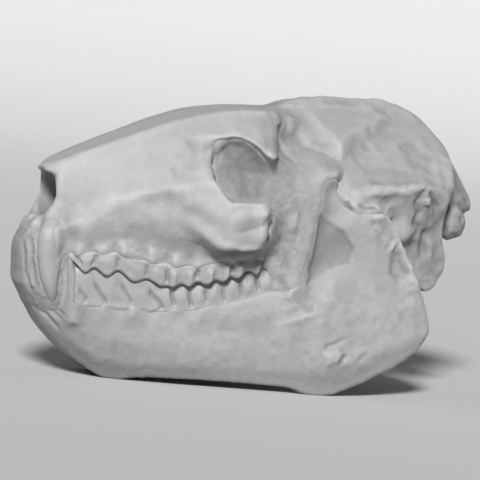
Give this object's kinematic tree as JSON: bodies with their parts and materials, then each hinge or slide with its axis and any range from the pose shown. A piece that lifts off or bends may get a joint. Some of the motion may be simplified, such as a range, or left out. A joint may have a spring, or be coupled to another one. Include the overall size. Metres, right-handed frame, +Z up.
{
  "type": "fossil oreodont skull",
  "caption": "Fossil skull of an extinct plant-eating mammal with closed jaws, long crested braincase, rock-filled eye sockets and broken cheek arches, resting on chin and jaw angles",
  "frame": {"origin": "centre of the bounding box at its lowest level, where the chin and the two jaw angles rest", "axes": "-X points to the muzzle and +X to the back of the head, -Y is the animal's left side, +Z up"},
  "size_m": [0.207, 0.103, 0.1279],
  "materials": {
    "fossil_bone": "matte light grey mineralised bone, faintly smoother on the tooth enamel",
    "rock": "matte grey fine-grained siltstone, rough where it was picked away"
  },
  "bodies": {
    "root": {"cranium": "fossil_bone", "mandible": "fossil_bone", "rock_filling": "rock"}
  },
  "joints": []
}
